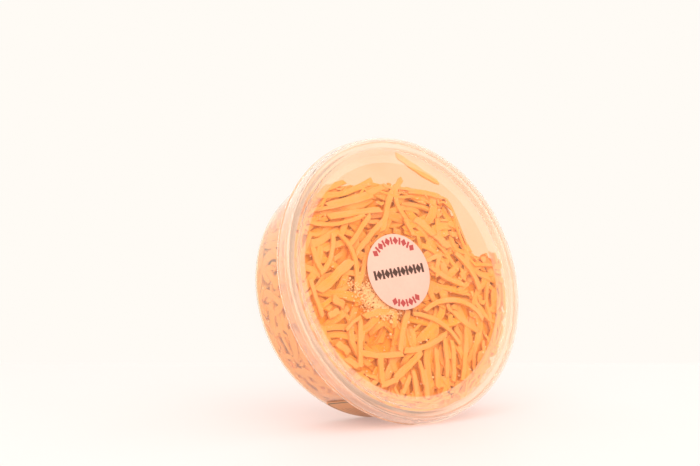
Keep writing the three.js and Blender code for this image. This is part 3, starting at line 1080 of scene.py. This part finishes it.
def paperMaterial(name, values, paint=None):
    material, tree, shader, _ = newMaterial(name)
    place = addNode(tree, "TexCoord").outputs["Object"]
    fibre = spread(tree, noise(tree, place, 900, 4), 0.3, 0.7)
    cloud = spread(tree, noise(tree, place, 120, 3), 0.3, 0.7)
    share = compute(tree, "MULTIPLY", compute(tree, "ADD", fibre, cloud), 0.5)
    colour = mixColour(tree, share, values["low"], values["high"])
    if paint:
        colour = paint(tree, colour)
    leadIn(tree, shader, colour, spread(tree, cloud, 0, 1, *values["gloss"]), fibre, values["relief"], 0.2)
    shader.inputs["Specular IOR Level"].default_value = 0.35
    return material


labelPaper = paperMaterial("labelPaper", {
    "low": rgb(236, 182, 163), "high": rgb(242, 190, 171), "relief": 0.15, "gloss": (0.4, 0.55)})
redInk = paperMaterial("redInk", {
    "low": rgb(168, 50, 54), "high": rgb(184, 64, 64), "relief": 0.1, "gloss": (0.35, 0.5)})
darkInk = paperMaterial("darkInk", {
    "low": rgb(40, 20, 14), "high": rgb(62, 34, 24), "relief": 0.1, "gloss": (0.35, 0.5)})


def roundSticker():
    values = roundLabel
    top = -lidSize["panelDepth"] + values["gap"] + values["thickness"]
    deselectAll()
    bpy.ops.mesh.primitive_cylinder_add(
        vertices=128, radius=values["radius"] * mm, depth=values["thickness"] * mm, end_fill_type="NGON",
        location=(values["across"] * mm, values["up"] * mm, (top - values["thickness"] / 2) * mm))
    piece = bpy.context.object
    piece.name = "round_label"
    editAll(piece)
    bpy.ops.mesh.bevel(offset=values["edge"] * mm, segments=2)
    leaveEdit()
    settle()
    placeInPack(piece)
    smooth(piece, 30)
    return piece


# Plain marks on the round label: two arcs of red lozenges and a dark band of bars and lozenges
arcMarks = {
    "radius": 13.1, "top": (-47, 47, 11), "bottom": (153, 207, 7),
    "lozenge": (2.9, 3.4), "bar": (0.95, 3.0),
}
bandMarks = {"reach": 12.5, "count": 13, "lozenge": (2.9, 4.0), "bar": (1.2, 3.9)}


def inkMark(sides, width, height, across, up, turn):
    # A small raised mark on the label: across, up and turn are counted from the label's own middle
    values = roundLabel
    deselectAll()
    bpy.ops.mesh.primitive_cylinder_add(vertices=sides, radius=0.5, depth=1, rotation=(0, 0, pi / 2))
    piece = bpy.context.object
    settle()
    corners = readCorners(piece)
    if sides == 8:  # an upright bar with cut corners
        corners[:, :2] = np.sign(corners[:, :2]) * np.minimum(np.abs(corners[:, :2]) * 1.4, 0.5)
    corners *= (width, height, values["ink"])
    writeCorners(piece, corners * mm)
    top = -lidSize["panelDepth"] + values["gap"] + values["thickness"]
    whole = Matrix.Rotation(radians(values["turn"]), 4, "Z")
    spot = Matrix.Translation((across * mm, up * mm, 0)) @ Matrix.Rotation(radians(turn), 4, "Z")
    middle = Matrix.Translation((values["across"] * mm, values["up"] * mm, (top + values["ink"] / 2) * mm))
    piece.matrix_world = middle @ whole @ spot
    settle()
    return piece


def joinMarks(marks, name):
    deselectAll()
    for mark in marks:
        mark.select_set(True)
    bpy.context.view_layer.objects.active = marks[0]
    bpy.ops.object.join()
    marks[0].name = name
    placeInPack(marks[0])
    return marks[0]


def redMarks():
    marks = []
    for first, last, count in (arcMarks["top"], arcMarks["bottom"]):
        for step in range(count):
            angle = first + (last - first) * step / (count - 1)
            across = arcMarks["radius"] * sin(radians(angle))
            up = arcMarks["radius"] * cos(radians(angle))
            sides, size = (4, arcMarks["lozenge"]) if step % 2 == 0 else (8, arcMarks["bar"])
            marks.append(inkMark(sides, *size, across, up, -angle))
    return joinMarks(marks, "label_marks_red")


def darkMarks():
    marks = []
    for step in range(bandMarks["count"]):
        across = bandMarks["reach"] * (2 * step / (bandMarks["count"] - 1) - 1)
        sides, size = (8, bandMarks["bar"]) if step % 2 == 0 else (4, bandMarks["lozenge"])
        marks.append(inkMark(sides, *size, across, 0, 0))
    return joinMarks(marks, "label_marks_dark")


dress(roundSticker(), [labelPaper], "label_paper", "lid_label")
dress(redMarks(), [redInk], "label_paper")
dress(darkMarks(), [darkInk], "label_paper")

sideLabel = {
    "low": -33.7, "high": -9.4, "first": 238, "last": 294, "gap": 0.12, "thickness": 0.2,
    "corner": 2.5, "inset": 1.0, "line": 0.6, "lineColour": rgb(52, 66, 34),
    "barRows": 0.36, "barShare": 0.34, "barInset": (6, 4), "barInk": 0.55, "barColour": rgb(120, 84, 62),
}


def sideLabelSize():
    length = radians(sideLabel["last"] - sideLabel["first"]) * tubSize["baseRadius"]
    return length, sideLabel["high"] - sideLabel["low"]


def sideSticker():
    # A grid bent round the wall, given its thickness, and cut where the pack rests on it
    values = sideLabel
    deselectAll()
    bpy.ops.mesh.primitive_grid_add(x_subdivisions=56, y_subdivisions=24, size=1)
    piece = bpy.context.object
    piece.name = "side_sticker"
    half = np.array(sideLabelSize()) / 2
    flat = readCorners(piece)[:, :2] * 2 * half
    beyond = np.abs(flat) - (half - values["corner"])
    inCorner = (beyond > 0).all(1)
    reach = np.linalg.norm(np.maximum(beyond, 0), axis=1)
    pull = np.where(inCorner & (reach > values["corner"]), values["corner"] / np.maximum(reach, 0.01), 1)
    flat = np.sign(flat) * np.where(
        inCorner[:, None], half - values["corner"] + np.maximum(beyond, 0) * pull[:, None], np.abs(flat))
    angle = radians((values["first"] + values["last"]) / 2) + flat[:, 0] / tubSize["baseRadius"]
    z = (values["low"] + values["high"]) / 2 + flat[:, 1]
    radius = outerWallRadius(z) + values["gap"]
    writeCorners(piece, np.stack([radius * np.cos(angle), radius * np.sin(angle), z], -1) * mm)
    editAll(piece)
    bpy.ops.mesh.normals_make_consistent(inside=False)
    leaveEdit()
    middle = piece.data.polygons[len(piece.data.polygons) // 2]
    outside = middle.normal.x * middle.center.x + middle.normal.y * middle.center.y > 0
    wall = piece.modifiers.new("paper", "SOLIDIFY")
    wall.thickness = values["thickness"] * mm
    wall.offset = 1 if outside else -1
    applyModifiers(piece)
    placeInPack(piece)
    cutAtTable(piece)
    smooth(piece, 30)
    return piece


def sidePaint(tree, paper):
    # A thin dark frame line, and rows of short plain bars inside it
    values = sideLabel
    length, height = sideLabelSize()
    uv = addNode(tree, "UVMap").outputs[0]
    parts = addNode(tree, "SeparateXYZ", {"Vector": uv}).outputs
    across = compute(tree, "MULTIPLY", compute(tree, "SUBTRACT", parts["X"], 0.5), length)
    up = compute(tree, "MULTIPLY", compute(tree, "SUBTRACT", parts["Y"], 0.5), height)
    acrossAway = compute(tree, "ABSOLUTE", across)
    upAway = compute(tree, "ABSOLUTE", up)
    squares = []
    for away, size in ((acrossAway, length), (upAway, height)):
        beyond = compute(tree, "SUBTRACT", away, size / 2 - values["corner"])
        squares.append(compute(tree, "POWER", compute(tree, "MAXIMUM", beyond, 0), 2))
    reach = compute(tree, "SQRT", compute(tree, "ADD", *squares))
    toEdge = compute(tree, "SUBTRACT", values["corner"], reach)
    offLine = compute(tree, "ABSOLUTE", compute(tree, "SUBTRACT", toEdge, values["inset"]))
    line = compute(tree, "LESS_THAN", offLine, values["line"] / 2)
    insetAcross, insetUp = values["barInset"]
    row = compute(tree, "FRACT", compute(tree, "MULTIPLY", up, values["barRows"]))
    row = compute(tree, "LESS_THAN", row, values["barShare"])
    inRows = compute(tree, "LESS_THAN", upAway, height / 2 - insetUp)
    inReach = compute(tree, "LESS_THAN", acrossAway, length / 2 - insetAcross)
    bars = compute(tree, "MULTIPLY", row, compute(tree, "MULTIPLY", inRows, inReach))
    colour = mixColour(tree, compute(tree, "MULTIPLY", bars, values["barInk"]), paper, values["barColour"])
    return mixColour(tree, line, colour, values["lineColour"])


# The side label's paper is a darker brown than the round label: partly its own colour, partly painted
# shade for where it lies under the tub
sidePaperWithShade = paperMaterial("sideLabelPaperWithShade", {
    "low": rgb(212, 154, 102), "high": rgb(224, 168, 114), "relief": 0.15, "gloss": (0.4, 0.55),
}, sidePaint)
dress(sideSticker(), [sidePaperWithShade], "label_paper", "side_label")
print("labels placed")


# Camera, light and floor

cameraPlace = {
    "azimuth": -36.28, "elevation": 0.92, "distance": 550, "across": -30.24, "above": 17.8, "lens": 71.68,
}


def makeCamera():
    values = cameraPlace
    azimuth = radians(values["azimuth"])
    elevation = radians(values["elevation"])
    back = Vector((sin(azimuth) * cos(elevation), -cos(azimuth) * cos(elevation), sin(elevation)))
    target = Vector((values["across"], packBack, axisHeight + values["above"])) * mm
    bpy.ops.object.camera_add(location=target + back * values["distance"] * mm)
    camera = bpy.context.object
    camera.rotation_euler = (-back).to_track_quat("-Z", "Y").to_euler()
    camera.data.lens = values["lens"]
    camera.data.sensor_width = 36
    camera.data.clip_start = 0.01
    bpy.context.scene.camera = camera


# Place, width and strength of each lamp
lights = {
    "key": ((-0.55, -0.8, 0.7), 1.4, 8.5),
    "top": ((0.1, 0.1, 1.2), 1.8, 3.5),
    "side": ((0.8, -0.3, 0.5), 0.9, 1),
}
lightColour = (1, 0.97, 0.93)
litPoint = Vector((0, 0, 0.05))


def makeLights():
    for name, (place, size, energy) in lights.items():
        bpy.ops.object.light_add(type="AREA", location=place)
        light = bpy.context.object
        light.name = name
        light.data.size = size
        light.data.energy = energy
        light.data.color = lightColour
        light.rotation_euler = (litPoint - Vector(place)).to_track_quat("-Z", "Y").to_euler()


# glow is light the table gives off by itself: painted light that lifts the shadows on it
table = {
    "width": 4.8, "front": 0.9, "behind": 0.2, "colour": (0.6, 0.52, 0.512, 1), "dim": 0.985, "glow": 0.5,
}


def makeTable():
    # Its far edge runs level across the picture, a little behind the pack
    length = table["front"] + table["behind"]
    turn = Matrix.Rotation(radians(cameraPlace["azimuth"]), 4, "Z")
    deselectAll()
    bpy.ops.mesh.primitive_plane_add(size=1)
    floor = bpy.context.object
    floor.name = "table"
    floor.scale = (table["width"], length, 1)
    floor.location = turn @ Vector((0, table["behind"] - length / 2, 0))
    floor.rotation_euler = (0, 0, radians(cameraPlace["azimuth"]))
    settle()
    material, tree, shader, _ = newMaterial("paleTable")
    place = addNode(tree, "TexCoord").outputs["Object"]
    shade = spread(tree, noise(tree, place, 6), 0.3, 0.7)
    bright = table["colour"]
    dim = tuple(table["dim"] * value for value in bright[:3]) + (1,)
    tone = mixColour(tree, shade, dim, bright)
    tree.links.new(tone, shader.inputs["Base Color"])
    # The table glows in its own colour, though it is no lamp: painted light that makes its shadows paler
    tree.links.new(tone, shader.inputs["Emission Color"])
    setInputs(shader, {"Emission Strength": table["glow"], "Roughness": 0.6})
    floor.data.materials.append(material)


def makeSurroundings():
    # Pale all round, and enough bounces for light to pass through all the plastic walls
    scene = bpy.context.scene
    scene.world = bpy.data.worlds.new("studio")
    scene.world.use_nodes = True
    setInputs(scene.world.node_tree.nodes["Background"], {"Color": rgb(255, 251, 245), "Strength": 1.0})
    scene.view_settings.view_transform = "Standard"
    scene.cycles.max_bounces = 24
    scene.cycles.transmission_bounces = 24
    scene.cycles.transparent_max_bounces = 32
    scene.cycles.diffuse_bounces = 8
    scene.cycles.caustics_reflective = False
    scene.cycles.caustics_refractive = False


softGlow = {"strength": 0.1, "size": 0.15}


def makeGlow():
    # The bright surroundings bleed a little over the edges. The picture keeps its brightness.
    scene = bpy.context.scene
    scene.use_nodes = True
    tree = scene.node_tree
    tree.nodes.clear()
    picture = tree.nodes.new("CompositorNodeRLayers")
    glow = tree.nodes.new("CompositorNodeGlare")
    glow.glare_type = "BLOOM"
    setInputs(glow, {
        "Threshold": 0, "Smoothness": 0, "Strength": softGlow["strength"], "Size": softGlow["size"]})
    level = tree.nodes.new("CompositorNodeExposure")
    level.inputs["Exposure"].default_value = -log2(1 + softGlow["strength"])
    result = tree.nodes.new("CompositorNodeComposite")
    tree.links.new(picture.outputs["Image"], glow.inputs["Image"])
    tree.links.new(glow.outputs["Image"], level.inputs["Image"])
    tree.links.new(level.outputs["Image"], result.inputs["Image"])


makeCamera()
makeLights()
makeTable()
makeSurroundings()
makeGlow()
print("camera, lights and table set")
